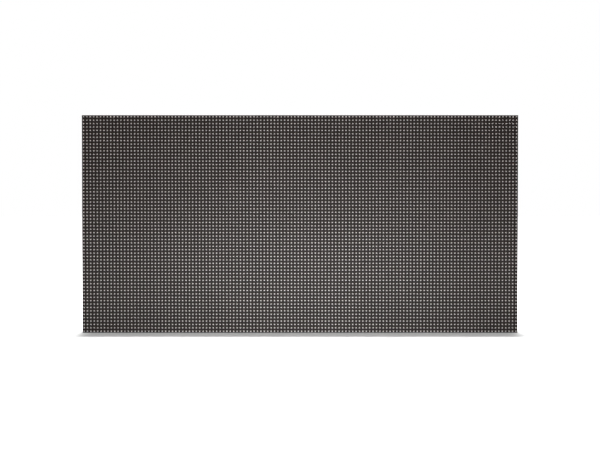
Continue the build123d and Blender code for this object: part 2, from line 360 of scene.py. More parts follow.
TIN = metal("tin_plating", (0.62, 0.61, 0.58), (0.80, 0.79, 0.76), 0.22, 0.38)
SOLDER = metal("solder", (0.55, 0.55, 0.54), (0.74, 0.74, 0.73), 0.28, 0.45)
BRASS = metal("brass", (0.66, 0.47, 0.20), (0.80, 0.62, 0.31), 0.22, 0.38)
ZINC = metal("zinc_steel", (0.50, 0.50, 0.51), (0.66, 0.66, 0.68), 0.25, 0.42)
ALUMINIUM = metal("can_aluminium", (0.50, 0.50, 0.51), (0.64, 0.64, 0.65), 0.26, 0.40, 500.0)
print("finishes so far", len(bpy.data.materials))

# %% [markdown]
# Behind each opening is a lamp: a black package with a round milky window, under which three tiny light
# chips sit. The window's finish repeats with the pitch: the distance from the nearest lamp's middle comes
# from the object's coordinates, so that one material serves all of them, with no drawn picture. Every
# lamp gets a slightly different tone from a hash of its cell, as a real batch of lamps has.

# %% Window finish
MILKY_TONES = ((0.0, (0.536, 0.488, 0.468)), (1.0, (0.580, 0.529, 0.507)))
CHIP_COLOURS = ((0.105, (0.20, 0.09, 0.08)), (0.0, (0.13, 0.17, 0.16)), (-0.105, (0.10, 0.13, 0.20)))
HALF_CHIP = 0.045
HALF_CHIP_WIDTH = HALF_CHIP * 1.2


def make_window_finish():
    """Milky resin over three light chips. Levels and chip sizes are parts of the pitch."""
    finish = Finish(
        "lamp_window", Coat_Weight=0.6, Coat_Roughness=0.35, Coat_IOR=1.5, Roughness=0.5,
        Specular_IOR_Level=0.2,
    )
    cell = finish.node("ShaderNodeVectorMath", operation="SCALE")
    cell.inputs["Scale"].default_value = 1.0 / PITCH
    finish.link(finish.place, cell.inputs["Vector"])
    fraction = finish.node("ShaderNodeVectorMath", operation="FRACTION")
    finish.link(cell.outputs["Vector"], fraction.inputs["Vector"])
    whole = finish.node("ShaderNodeVectorMath", operation="FLOOR")
    finish.link(cell.outputs["Vector"], whole.inputs["Vector"])
    inside = finish.parts(fraction.outputs["Vector"])
    across = finish.math("SUBTRACT", inside["X"], 0.5)
    up = finish.math("SUBTRACT", inside["Z"], 0.5)
    hashed = finish.node("ShaderNodeTexWhiteNoise", noise_dimensions="3D")
    finish.link(whole.outputs["Vector"], hashed.inputs["Vector"])
    milky = finish.ramp(finish.span(hashed.outputs["Value"], 0.0, 1.0), MILKY_TONES)
    for level, colour in CHIP_COLOURS:
        wide = finish.math("LESS_THAN", finish.math("ABSOLUTE", across), HALF_CHIP_WIDTH)
        rise = finish.math("ABSOLUTE", finish.math("SUBTRACT", up, level))
        tall = finish.math("LESS_THAN", rise, HALF_CHIP)
        milky = finish.mix(finish.math("MULTIPLY", wide, tall), milky, colour)
    finish.colour(milky)
    return finish.material


WINDOW = make_window_finish()
print("window nodes", len(WINDOW.node_tree.nodes))

# %% [markdown]
# One lamp is modelled once: a square body whose top runs inwards to a round rim, and a shallow dish that
# is the surface of the cast resin. It is closed below. A window cut with a boolean could leave ragged
# faces on all 8,192 of them, so the square and the circle are joined a quarter at a time.

# %% One lamp
LAMP_SIZE = 1.5 * MM
WINDOW_RADIUS = 0.45 * MM
DISH_DEPTH = 0.05 * MM
DISH_PART = 0.8
RIM_POINTS = 16
DISH_POINTS = RIM_POINTS // 2


def one_lamp():
    """Points, faces, material indices and smooth flags of one lamp, centred on its own middle."""
    half = LAMP_SIZE / 2
    corners = [(half, half), (-half, half), (-half, -half), (half, -half)]
    points = [(x, BOARD_FRONT, z) for x, z in corners]
    points += [(x, LAMP_TOP, z) for x, z in corners]
    points += [(x, LAMP_TOP, z) for x, z in circle(WINDOW_RADIUS, RIM_POINTS, 0.5)]
    dished = circle(WINDOW_RADIUS * DISH_PART, DISH_POINTS, 0.5)
    points += [(x, LAMP_TOP + DISH_DEPTH, z) for x, z in dished]
    rim = 8
    dish = rim + RIM_POINTS
    quarter = RIM_POINTS // 4
    faces = [(3, 2, 1, 0)]
    for k in range(4):
        faces.append((k, (k + 1) % 4, 4 + (k + 1) % 4, 4 + k))
    for k in range(4):
        rim_run = [rim + (k * quarter - j - 1) % RIM_POINTS for j in range(quarter)]
        faces.append((4 + (k + 3) % 4, 4 + k, rim + k * quarter, *rim_run))
    body_faces = len(faces)
    for k in range(DISH_POINTS):
        ahead = (k + 1) % DISH_POINTS
        first, second = rim + 2 * k, rim + 2 * k + 1
        faces.append((first, second, dish + k))
        faces.append((second, rim + (2 * k + 2) % RIM_POINTS, dish + ahead, dish + k))
    faces.append(tuple(dish + k for k in range(DISH_POINTS)))
    window_faces = len(faces) - body_faces
    indices = [0] * body_faces + [1] * window_faces
    smooth = [False] * body_faces + [True] * (window_faces - 1) + [False]
    return points, faces, indices, smooth


lamp = one_lamp()
print("one lamp, points", len(lamp[0]), "faces", len(lamp[1]))

# %% [markdown]
# A real panel has its lamps soldered in rows by a machine, one like another. Here the one lamp is copied
# over a block of sixteen columns. Eight blocks instead of one keep every piece below the limit on its
# triangles, and each takes the place of one node of the construction model.

# %% Lamp blocks
BLOCK_COLUMNS = COLUMNS // BLOCKS


def lamp_middle(column, row):
    return ((column - (COLUMNS - 1) / 2) * PITCH, 0.0, (row - (ROWS - 1) / 2) * PITCH)


def make_lamp_block(block):
    points, faces, indices, smooth = lamp
    columns = range(block * BLOCK_COLUMNS, (block + 1) * BLOCK_COLUMNS)
    places = [lamp_middle(column, row) for column in columns for row in range(ROWS)]
    piece = mesh_piece(
        f"lamps_{block + 1}", *grown(points, faces, places), (PACKAGE_BLACK, WINDOW),
        indices * len(places), smooth * len(places), "lamp_package",
    )
    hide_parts(f"lamp_columns_{block + 1}")


for block in range(BLOCKS):
    make_lamp_block(block)
print("lamp blocks", BLOCKS, "columns each", BLOCK_COLUMNS)

# %% [markdown]
# The mask is one moulding, a lattice with a square opening over every lamp. Its ribs narrow towards the
# front, because the mould must let go of it. 8,192 boolean cuts would be slow and could leave gaps. So
# the lattice is made cell by cell on a shared grid of points, which keeps it one closed body: front, back,
# the walls of each opening, and a skirt that runs back to the board.

# %% Lines of the mask's grid
OPENING_FRONT = 1.74 * MM
OPENING_BACK = 1.66 * MM
MASK_BACK = MASK_FRONT + 0.35 * MM
SKIRT_GAP = 0.02 * MM


def grid_lines(low, high, count, opening):
    """Places along one side: the outer edge, both sides of every opening, and the other edge."""
    middles = [(k - (count - 1) / 2) * PITCH for k in range(count)]
    return [low] + [middle + side * opening / 2 for middle in middles for side in (-1, 1)] + [high]


def layer_lines(opening, inside_skirt):
    """The lines across and upwards of one layer. The back layer ends at the inside of the skirt."""
    across = grid_lines(mask_low.x, mask_high.x, COLUMNS, opening)
    upward = grid_lines(mask_low.z, mask_high.z, ROWS, opening)
    if inside_skirt:
        for lines in (across, upward):
            lines[0] = lines[1] - SKIRT_GAP
            lines[-1] = lines[-2] + SKIRT_GAP
    return across, upward


print("lines of the mask's grid", [len(lines) for lines in layer_lines(OPENING_FRONT, False)])

# %% [markdown]
# Every second cell of the grid, both ways, is an opening. A solid cell gives a front and a back face, and
# an opening gives the four walls between them. The skirt then follows the grid's outline once round. The
# order of the corners decides which way a face looks, so walls list them from the solid's side.

# %% Mask lattice
def make_mask():
    points = []
    faces = []

    def point(x, y, z):
        points.append((x, y, z))
        return len(points) - 1

    def layer(depth, opening, inside_skirt):
        across, upward = layer_lines(opening, inside_skirt)
        return [[point(x, depth, z) for z in upward] for x in across]

    front = layer(MASK_FRONT, OPENING_FRONT, False)
    back = layer(MASK_BACK, OPENING_BACK, True)
    wide = len(front)
    tall = len(front[0])
    for i in range(wide - 1):
        for k in range(tall - 1):
            corners = ((i, k), (i + 1, k), (i + 1, k + 1), (i, k + 1))
            near = [front[a][b] for a, b in corners]
            far = [back[a][b] for a, b in corners]
            if i % 2 == 1 and k % 2 == 1:
                faces += [(near[a], near[b], far[b], far[a]) for a, b in ((0, 1), (1, 2), (2, 3), (3, 0))]
            else:
                faces.append(tuple(near))
                faces.append(tuple(far[::-1]))
    ring = [(i, 0) for i in range(wide)] + [(wide - 1, k) for k in range(1, tall)]
    ring += [(i, tall - 1) for i in range(wide - 2, -1, -1)] + [(0, k) for k in range(tall - 2, 0, -1)]
    skirts = []
    for layer_points in (front, back):
        edge = [layer_points[i][k] for i, k in ring]
        skirts.append((edge, [point(points[e][0], BOARD_FRONT, points[e][2]) for e in edge]))
    (front_edge, outer), (back_edge, inner) = skirts
    for m in range(len(ring)):
        n = m - 1
        faces.append((front_edge[m], front_edge[n], outer[n], outer[m]))
        faces.append((outer[m], outer[n], inner[n], inner[m]))
        faces.append((inner[m], inner[n], back_edge[n], back_edge[m]))
    piece = mesh_piece("mask_lattice", points, faces, (MASK_BLACK,), slot="mask_plastic")
    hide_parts("front_mask")
    return piece


mask = make_mask()
print("mask lattice faces", len(mask.data.polygons))

# %% [markdown]
# The parts behind the board are the ones of any such module: driver chips, sockets for ribbon cables, a
# power header and the moulded frame. Many keep the construction's exact shape and only need softer edges,
# because no moulded edge is sharp. A bevel modifier could do that, but it would also round every facet of
# a flat side. So flat facets are first merged, and then only true edges are bevelled. The first to get
# this is the frame, one large moulding whose quarter-millimetre radius catches light along every rib.

# %% Rounded copies, and the frame moulding
MERGE_DISTANCE = 1e-6
DEGENERATE = 1e-7
FLAT_ANGLE = math.radians(1.0)
TRUE_EDGE_ANGLE = math.radians(25.0)
CREASE_ANGLE = math.radians(40.0)


def rounded_copy(node, name, material, radius, steps=2):
    """A copy of a node with its true edges rounded. It takes the node's place."""
    grid = bmesh.new()
    grid.from_mesh(nodes[node].data)
    bmesh.ops.remove_doubles(grid, verts=grid.verts, dist=MERGE_DISTANCE)
    bmesh.ops.dissolve_limit(grid, angle_limit=FLAT_ANGLE, verts=grid.verts, edges=grid.edges)
    edges = [e for e in grid.edges if e.is_manifold and e.calc_face_angle(0.0) > TRUE_EDGE_ANGLE]
    bmesh.ops.bevel(
        grid, geom=edges, offset=radius, offset_type="OFFSET", segments=steps,
        profile=0.5, affect="EDGES", clamp_overlap=True,
    )
    bmesh.ops.dissolve_degenerate(grid, dist=DEGENERATE, edges=grid.edges)
    bmesh.ops.recalc_face_normals(grid, faces=grid.faces)
    mesh = bpy.data.meshes.new(name)
    grid.to_mesh(mesh)
    open_edges = sum(1 for e in grid.edges if not e.is_manifold)
    grid.free()
    mesh.polygons.foreach_set("use_smooth", [True] * len(mesh.polygons))
    mesh.set_sharp_from_angle(angle=CREASE_ANGLE)
    mesh.materials.append(material)
    piece = bpy.data.objects.new(name, mesh)
    bpy.context.scene.collection.objects.link(piece)
    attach(piece, ROOT)
    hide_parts(node)
    print(name, "faces", len(mesh.polygons), "open edges", open_edges)


rounded_copy("rear_frame", "frame_moulding", FRAME_BLACK, 0.25 * MM)

# %% [markdown]
# The shrouds of the two sockets, the power header's body and the plinths under the capacitor cans are
# small mouldings. A small mould has finer radii, so each gets its own instead of one for all.

# %% Small mouldings
for end in ("input", "output"):
    rounded_copy(f"ribbon_socket_{end}", f"socket_shroud_{end}", SOCKET_BLACK, 0.15 * MM)
rounded_copy("power_header", "power_header_body", NYLON, 0.18 * MM)
rounded_copy("capacitor_bases", "can_plinths", PLINTH, 0.12 * MM)

# %% [markdown]
# Chips are cast in epoxy, in a mould with sloping sides. Their nodes have those slopes already. A flat cut
# on each edge is enough for so small a radius, and saves triangles on 60 chips.

# %% Chip bodies
for block in range(BLOCKS):
    rounded_copy(f"driver_chips_{block + 1}", f"driver_bodies_{block + 1}", EPOXY, 0.09 * MM, 1)
for half in ("upper", "lower"):
    rounded_copy(f"row_chips_{half}", f"row_chip_bodies_{half}", EPOXY, 0.09 * MM, 1)
for end in ("input", "output"):
    rounded_copy(f"buffer_chips_{end}", f"buffer_bodies_{end}", EPOXY, 0.07 * MM, 1)

# %% [markdown]
# Legs, pads and marks have to sit exactly where each chip is, but one node holds many chips. Typing their
# places in would break when the model's sizes change. So the places are found in the node itself: points
# that edges connect belong to one chip, and the box round them gives its middle and its size.

# %% Places of the loose parts of a node
def loose_parts(node):
    """The middle and the size of each loose part of a node's mesh, from left to right."""
    grid = bmesh.new()
    grid.from_mesh(nodes[node].data)
    bmesh.ops.remove_doubles(grid, verts=grid.verts, dist=MERGE_DISTANCE)
    grid.verts.index_update()
    points = [vertex.co.copy() for vertex in grid.verts]
    part = part_numbers(len(points), [[vertex.index for vertex in face.verts] for face in grid.faces])
    grid.free()
    found = []
    for number in set(part):
        own = [point for point, home in zip(points, part) if home == number]
        low, high = (Vector([pick(p[k] for p in own) for k in range(3)]) for pick in (min, max))
        found.append(((low + high) / 2, high - low))
    return sorted(found, key=lambda item: (round(item[0].x, 5), round(item[0].z, 5)))


drivers = [chip for block in range(BLOCKS) for chip in loose_parts(f"driver_chips_{block + 1}")]
row_chips = loose_parts("row_chips_upper") + loose_parts("row_chips_lower")
buffers = loose_parts("buffer_chips_input") + loose_parts("buffer_chips_output")
print("drivers", len(drivers), "row chips", len(row_chips), "buffers", len(buffers))

# %% [markdown]
# A chip's legs are stamped from tinned copper and bent like a gull's wing: out of the body at half its
# height, down to the board, and flat on a pad. A curve with a bevel would round the stamped edges. One leg
# is therefore a profile with eight corners that is given a width.

# %% One chip leg
LEG_THICKNESS = 0.16 * MM
LEG_HIDDEN = 0.12 * MM
LEG_BEND = 0.22 * MM
LEG_RUN = 0.20 * MM
FOOT_LENGTH = 0.55 * MM
FOOT_LEVEL = BOARD_BACK + 0.03 * MM


def walls(count, start=0):
    """Side faces between two outlines of as many points, which follow each other from point start."""
    low = [start + k for k in range(count)]
    high = [k + count for k in low]
    return [(low[k - 1], high[k - 1], high[k], low[k]) for k in range(count)]


def chip_leg(width, stand):
    """Points and faces of one leg that leads towards +X. stand is its height where it leaves the body."""
    high = BOARD_BACK + stand + LEG_THICKNESS / 2
    low = BOARD_BACK + stand - LEG_THICKNESS / 2
    foot_start = LEG_BEND + LEG_RUN
    foot_end = foot_start + FOOT_LENGTH
    profile = (
        (-LEG_HIDDEN, high), (LEG_BEND, high),
        (foot_start, FOOT_LEVEL + LEG_THICKNESS), (foot_end, FOOT_LEVEL + LEG_THICKNESS),
        (foot_end, FOOT_LEVEL), (foot_start - 0.05 * MM, FOOT_LEVEL),
        (LEG_BEND - 0.06 * MM, low), (-LEG_HIDDEN, low),
    )
    count = len(profile)
    points = [(u, y, side * width / 2) for side in (-1, 1) for u, y in profile]
    faces = [tuple(range(count)), tuple(range(2 * count - 1, count - 1, -1))] + walls(count)
    return points, faces


print("leg reach", LEG_BEND + LEG_RUN + FOOT_LENGTH)

# %% [markdown]
# The same leg repeats along two sides of each chip. The drivers have their rows of legs along the panel's
# length and the other chips have them upright, so a leg is turned by quarter turns until it leads away
# from the body. `leg_row` gives the places of one row, and serves the pads later as well.

# %% Legs along the chips
LEG_INSET = 0.09 * MM
# For each kind of chip: whether its rows run along X, legs in a row, their spacing
DRIVER_ROW = (True, 12, 0.635 * MM)
ROW_CHIP_ROW = (False, 8, 1.27 * MM)
BUFFER_ROW = (False, 10, 0.65 * MM)


def quarter_turned(points, turns):
    """Points turned about the axis out of the board by quarter turns."""
    for _ in range(turns):
        points = [(-z, y, x) for x, y, z in points]
    return points


def leg_row(chip, row, side, out):
    """Places (x, z) along one side of a chip, at a distance out from the edge of its body."""
    middle, size = chip
    along_x, count, spacing = row
    reach = side * ((size.z if along_x else size.x) / 2 + out)
    steps = [(k - (count - 1) / 2) * spacing for k in range(count)]
    if along_x:
        return [(middle.x + step, middle.z + reach) for step in steps]
    return [(middle.x + reach, middle.z + step) for step in steps]


def legs_of(chips, row, width, stand):
    """All legs of a kind of chip."""
    points, faces = chip_leg(width, stand)
    shapes = []
    for side in (1, -1):
        turns = (0 if side > 0 else 2) + (1 if row[0] else 0)
        places = [(x, 0.0, z) for chip in chips for x, z in leg_row(chip, row, side, -LEG_INSET)]
        shapes.append(grown(quarter_turned(points, turns), faces, places))
    return joined(shapes)


driver_legs = legs_of(drivers, DRIVER_ROW, 0.28 * MM, 0.85 * MM)
mesh_piece("driver_legs", *driver_legs, (TIN,), slot="solder_metal")
row_legs = legs_of(row_chips, ROW_CHIP_ROW, 0.42 * MM, 0.85 * MM)
mesh_piece("row_chip_legs", *row_legs, (TIN,), slot="solder_metal")
buffer_legs = legs_of(buffers, BUFFER_ROW, 0.25 * MM, 0.6 * MM)
mesh_piece("buffer_legs", *buffer_legs, (TIN,), slot="solder_metal")

# %% [markdown]
# The pins of the sockets and of the power header are cut from square wire, and their tips are coined so
# that a plug slides on. Rounding the edges of the node gives both.

# %% Pins of the sockets and the power header
for end in ("input", "output"):
    rounded_copy(f"socket_pins_{end}", f"socket_contacts_{end}", TIN, 0.12 * MM, 1)
rounded_copy("power_pins", "power_contacts", TIN, 0.22 * MM, 2)

# %% [markdown]
# A capacitor can is drawn aluminium: a bead near its foot holds the rubber plug, and its rim is rounded.
# It is a round part, so its profile is spun about an axis out of the board. Blender's Screw modifier does
# that too, but a list of steps is easier to read here, and both ends close by themselves. Steps are
# (inset, rise) in millimetres, from a radius and a level.

# %% Spinning a profile, and the capacitor cans
CAN_RADIUS = 3.15 * MM
CAN_BEAD = (
    (0.30, 0.0), (0.05, 0.15), (0.0, 0.30), (0.0, 0.75), (0.12, 0.92), (0.22, 1.12), (0.22, 1.25),
    (0.12, 1.45), (0.0, 1.62),
)
CAN_RIM = ((0.0, -0.50), (0.06, -0.26), (0.20, -0.09), (0.42, 0.0), (0.62, 0.0), (0.70, -0.05))
CAN_DISH = 0.05 * MM


def stepped(radius, level, steps):
    """Points (radius, depth) of a profile, from steps of (inset, rise) in millimetres."""
    return [(radius - inset * MM, level + rise * MM) for inset, rise in steps]


def spun(profile, middle, sides):
    """A closed round shape. The profile lists (radius, depth) from one end on the axis to the other."""
    x0, _, z0 = middle
    rings = profile[1:-1]
    points = [(x0, profile[0][1], z0)]
    for radius, depth in rings:
        points += [(x0 + x, depth, z0 + z) for x, z in circle(radius, sides)]
    points.append((x0, profile[-1][1], z0))
    last = len(points) - 1
    top = last - sides
    faces = [(0, 1 + k, 1 + (k + 1) % sides) for k in range(sides)]
    for low in range(1, top, sides):
        faces += walls(sides, low)
    faces += [(last, top + (k + 1) % sides, top + k) for k in range(sides)]
    return points, faces


def smoothed(piece):
    """Smooth shading, with creases where faces meet at more than 35 degrees."""
    mesh = piece.data
    mesh.polygons.foreach_set("use_smooth", [True] * len(mesh.polygons))
    mesh.set_sharp_from_angle(angle=math.radians(35.0))
    return piece


cans = loose_parts("capacitor_cans")
can_foot = cans[0][0].y - cans[0][1].y / 2
can_top = cans[0][0].y + cans[0][1].y / 2
can_profile = [(0.0, can_foot)] + stepped(CAN_RADIUS, can_foot, CAN_BEAD)
can_profile += stepped(CAN_RADIUS, can_top, CAN_RIM) + [(0.0, can_top - CAN_DISH)]
can_shapes = [spun(can_profile, middle, 40) for middle, _ in cans]
can_piece = smoothed(mesh_piece("can_sleeves", *joined(can_shapes), (ALUMINIUM,), slot="can_aluminium"))
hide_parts("capacitor_cans")

# %% [markdown]
# The black mark on top of a can is printed over the side of the negative lead. A second colour in the
# can's finish would need a mask drawn by nodes. A thin closed plate in the shape of the mark is simpler,
# and its edge stays sharp at any distance.

# %% Marks on the cans
MARK_INSET = 0.74 * MM
MARK_POINTS = 13
MARK_START = 118.0
MARK_END = 242.0


def flat_prism(outline, low, high, middle=(0.0, 0.0)):
    """A closed plate: an outline of (x, z) points, counter-clockwise, with a thickness in depth."""
    count = len(outline)
    points = [(middle[0] + x, y, middle[1] + z) for y in (low, high) for x, z in outline]
    faces = [tuple(range(count)), tuple(range(2 * count - 1, count - 1, -1))] + walls(count)
    return points, faces


mark_radius = CAN_RADIUS - MARK_INSET
mark_step = (MARK_END - MARK_START) / (MARK_POINTS - 1)
angles = [math.radians(MARK_START + k * mark_step) for k in range(MARK_POINTS)]
mark_outline = [(mark_radius * math.cos(angle), mark_radius * math.sin(angle)) for angle in angles]
mark_shapes = [
    flat_prism(mark_outline, can_top - 0.06 * MM, can_top - 0.035 * MM, (middle.x, middle.z))
    for middle, _ in cans
]
mesh_piece("can_marks", *joined(mark_shapes), (MARK_INK,), slot="plinth_plastic")
print("cans", len(cans))

# %% [markdown]
# Beside every driver chip sits a ceramic capacitor, tan with tinned ends, and a black resistor that sets
# the lamps' current. The row drivers have both too, and the buffers have a capacitor each. Their places
# are offsets from the chip that they serve, which is how a board is laid out as well.

# %% Places of the small parts
BESIDE_DRIVER = 6.4 * MM
CAPACITOR_SHIFT = 0.6 * MM
RESISTOR_SHIFT = 0.4 * MM
ABOVE_ROW_CHIP = 6.6 * MM
OUTSIDE_BUFFER = 4.6 * MM
# Each place is (x, z, turned), where turned parts have their length along Z
capacitor_places = []
resistor_places = []
for middle, _ in drivers:
    side = 1 if middle.z > 0 else -1
    capacitor_places.append((middle.x - BESIDE_DRIVER, middle.z + side * CAPACITOR_SHIFT, True))
    resistor_places.append((middle.x + BESIDE_DRIVER, middle.z - side * RESISTOR_SHIFT, True))
for middle, _ in row_chips:
    capacitor_places.append((middle.x, middle.z + ABOVE_ROW_CHIP, False))
    resistor_places.append((middle.x, middle.z - ABOVE_ROW_CHIP, False))
for middle, _ in buffers:
    side = 1 if middle.z > 0 else -1
    capacitor_places.append((middle.x, middle.z + side * OUTSIDE_BUFFER, False))
print("capacitors", len(capacitor_places), "resistors", len(resistor_places))

# %% [markdown]
# Small closed boxes with cut edges serve for all the tiny parts. A single part is only a millimetre or
# two long, but its edges still have to catch light, or it looks like a paper cut-out. Each of the eight
# corners has three points, one pulled out along each axis. The faces go between them.

# %% Boxes with cut edges
def soft_box(middle, size, cut):
    """A closed box with all its edges cut at 45 degrees."""
    corners = [(sx, sy, sz) for sx in (-1, 1) for sy in (-1, 1) for sz in (-1, 1)]
    points = []
    for signs in corners:
        for pulled in range(3):
            halves = [size[axis] / 2 - (0.0 if axis == pulled else cut) for axis in range(3)]
            points.append(tuple(middle[axis] + signs[axis] * halves[axis] for axis in range(3)))

    def at(signs, pulled):
        return corners.index(tuple(signs)) * 3 + pulled

    faces = [tuple(at(signs, pulled) for pulled in range(3)) for signs in corners]
    for axis in range(3):
        second, third = (axis + 1) % 3, (axis + 2) % 3
        round_axis = ((-1, -1), (1, -1), (1, 1), (-1, 1))
        ends = []
        for sign in (-1, 1):
            ring = []
            for b, c in round_axis:
                signs = [0, 0, 0]
                signs[axis], signs[second], signs[third] = sign, b, c
                ring.append(signs)
            faces.append(tuple(at(signs, axis) for signs in ring))
            ends.append(ring)
        for low, high in zip(*ends):
            faces.append((at(low, second), at(high, second), at(high, third), at(low, third)))

    def outward(face):
        """The face, turned round if it looks at the box's middle."""
        p, q, r = (Vector(points[k]) - Vector(middle) for k in face[:3])
        return face if (q - p).cross(r - p).dot(p) > 0.0 else face[::-1]

    return points, [outward(face) for face in faces]


print("faces of a soft box", len(soft_box((0.0, 0.0, 0.0), (1.0, 1.0, 1.0), 0.1)[1]))

# %% [markdown]
# The small parts are soldered flat on the board: a body between two tinned ends, and a ramp of solder
# that climbs each end. Solder could be a smooth metaball. At two millimetres a wedge of seven faces gives
# the same glint. The ramp of the other end is a mirror image, and mirroring turns faces inside out, so
# their corners are listed backwards there.

# %% Small parts
PART_LENGTH = 1.6 * MM
PART_WIDTH = 0.8 * MM
END_LENGTH = 0.34 * MM
END_CUT = 0.06 * MM
BODY_CUT = 0.03 * MM
BODY_INSET = 0.05 * MM
PART_STAND = 0.04 * MM
RAMP_REACH = 0.42 * MM
RAMP_FACES = (
    (0, 3, 2, 1), (0, 4, 7, 3), (4, 5, 6, 7), (5, 8, 9, 6), (8, 1, 2, 9), (0, 1, 8, 5, 4), (3, 7, 6, 9, 2),
)


def solder_ramp(side, thickness):
    """A wedge of solder at one end of a part. side is 1 or -1 along X."""
    end = side * PART_LENGTH / 2
    root = end - side * 0.08 * MM
    bulge = end + side * 0.14 * MM
    toe = end + side * RAMP_REACH
    half = PART_WIDTH / 2
    top = BOARD_BACK + PART_STAND + thickness * 0.62
    bulge_level = BOARD_BACK + 0.16 * MM
    toe_level = BOARD_BACK + 0.03 * MM
    points = [
        (root, BOARD_BACK, -half), (toe, BOARD_BACK, -half * 0.86),
        (toe, BOARD_BACK, half * 0.86), (root, BOARD_BACK, half),
        (root, top, -half * 0.9), (bulge, bulge_level, -half * 0.86),
        (bulge, bulge_level, half * 0.86), (root, top, half * 0.9),
        (toe, toe_level, -half * 0.84), (toe, toe_level, half * 0.84),
    ]
    return points, [face[::-side] for face in RAMP_FACES]


def small_part(place, thickness):
    """Body, two tinned ends and their solder of one small part, as two shapes."""
    x, z, turned = place
    level = BOARD_BACK + PART_STAND + thickness / 2
    inner = PART_LENGTH - 2 * END_LENGTH + 0.04 * MM
    body_size = (inner, thickness - BODY_INSET, PART_WIDTH - BODY_INSET)
    ends = []
    for side in (-1, 1):
        middle = (side * (PART_LENGTH - END_LENGTH) / 2, level, 0.0)
        ends.append(soft_box(middle, (END_LENGTH, thickness, PART_WIDTH), END_CUT))
        ends.append(solder_ramp(side, thickness))
    made = []
    for points, faces in (soft_box((0.0, level, 0.0), body_size, BODY_CUT), joined(ends)):
        made.append(grown(quarter_turned(points, int(turned)), faces, [(x, 0.0, z)]))
    return made


capacitors = [small_part(place, 0.8 * MM) for place in capacitor_places]
resistors = [small_part(place, 0.45 * MM) for place in resistor_places]
capacitor_bodies = joined([body for body, _ in capacitors])
resistor_bodies = joined([body for body, _ in resistors])
part_ends = joined([ends for _, ends in capacitors + resistors])
mesh_piece("capacitor_bodies", *capacitor_bodies, (CERAMIC,), slot="passive_ceramic")
mesh_piece("resistor_bodies", *resistor_bodies, (GLAZE,), slot="chip_epoxy")
mesh_piece("small_part_ends", *part_ends, (SOLDER,), slot="solder_metal")

# %% [markdown]
# Every leg stands on a tinned pad of the board. A pad could be a colour in the board's finish, but solder
# is bright and stands proud of the coating, which shows at a low angle. So each is a thin closed plate,
# sunk a hair into the board so that no gap can show.

# %% Pads under the legs
SUNK = 0.01 * MM
PAD_REACH = 0.57 * MM
PAD_HEIGHT = 0.032 * MM


def pad_plates(chips, row, width, length):
    """A plate under each foot. width is across the leg and length along it."""
    half_x, half_z = (width / 2, length / 2) if row[0] else (length / 2, width / 2)
    outline = [(-half_x, -half_z), (half_x, -half_z), (half_x, half_z), (-half_x, half_z)]
    return joined([
        flat_prism(outline, BOARD_BACK - SUNK, BOARD_BACK + PAD_HEIGHT, place)
        for chip in chips for side in (-1, 1) for place in leg_row(chip, row, side, PAD_REACH)
    ])


pads = joined([
    pad_plates(drivers, DRIVER_ROW, 0.36 * MM, 0.95 * MM),
    pad_plates(row_chips, ROW_CHIP_ROW, 0.6 * MM, 1.0 * MM),
    pad_plates(buffers, BUFFER_ROW, 0.34 * MM, 0.9 * MM),
])
mesh_piece("leg_pads", *pads, (SOLDER,), slot="solder_metal")

# %% [markdown]
# Thin white brackets are printed round each chip, so that a person can place it by eye. They carry no
# letter or number here. Printed paint also has a thickness, so a bracket is a plate as well. One outline
# is mirrored into four corners, and turned round where the mirror would turn it inside out.

# %% Printed brackets
BRACKET_LINE = 0.13 * MM
BRACKET_ARM = 0.7 * MM
BRACKET_GAP = 0.55 * MM
BRACKET_INSET = 0.1 * MM
INK_HEIGHT = 0.02 * MM
BRACKET = (
    (0.0, 0.0), (-BRACKET_ARM, 0.0), (-BRACKET_ARM, -BRACKET_LINE),
    (-BRACKET_LINE, -BRACKET_LINE), (-BRACKET_LINE, -BRACKET_ARM), (0.0, -BRACKET_ARM),
)
bracket_shapes = []
for middle, size in drivers + row_chips + buffers:
    along_x = size.x > size.z
    reach_x = size.x / 2 + (BRACKET_GAP if along_x else -BRACKET_INSET)
    reach_z = size.z / 2 + (-BRACKET_INSET if along_x else BRACKET_GAP)
    for sx, sz in ((-1, -1), (-1, 1), (1, -1), (1, 1)):
        placed = [(middle.x + sx * (reach_x + x), middle.z + sz * (reach_z + z)) for x, z in BRACKET]
        outline = placed[::sx * sz]
        bracket_shapes.append(flat_prism(outline, BOARD_BACK - SUNK, BOARD_BACK + INK_HEIGHT))
mesh_piece("printed_brackets", *joined(bracket_shapes), (SILK_INK,), slot="printed_ink")

# %% [markdown]
# A dimple at one end of a chip's face tells which leg is the first. It is a shallow polished dish. Cutting
# it into the epoxy would need a boolean on 60 chips. Here it is a thin round plate in a smoother finish,
# whose dished top lies a hair over the face.

# %% First-leg marks
LARGE_MARK = 0.45 * MM
SMALL_MARK = 0.4 * MM
LARGE_CHIP = 3.5 * MM
NEAR_END = 1.15 * MM
NEAR_SIDE = 1.0 * MM
mark_shapes = []
for middle, size in drivers + row_chips + buffers:
    top = middle.y + size.y / 2
    radius = LARGE_MARK if min(size.x, size.z) > LARGE_CHIP else SMALL_MARK
    if size.x > size.z:
        x = middle.x - size.x / 2 + NEAR_END
        z = middle.z - size.z / 2 + NEAR_SIDE
    else:
        x = middle.x - size.x / 2 + NEAR_SIDE
        z = middle.z + size.z / 2 - NEAR_END
    profile = [
        (0.0, top - 0.05 * MM), (radius, top - 0.05 * MM), (radius, top + 0.012 * MM),
        (radius * 0.86, top + 0.012 * MM), (radius * 0.6, top + 0.003 * MM), (0.0, top + 0.002 * MM),
    ]
    mark_shapes.append(spun(profile, (x, 0.0, z), 16))
smoothed(mesh_piece("first_leg_marks", *joined(mark_shapes), (POLISHED_EPOXY,), slot="chip_epoxy"))

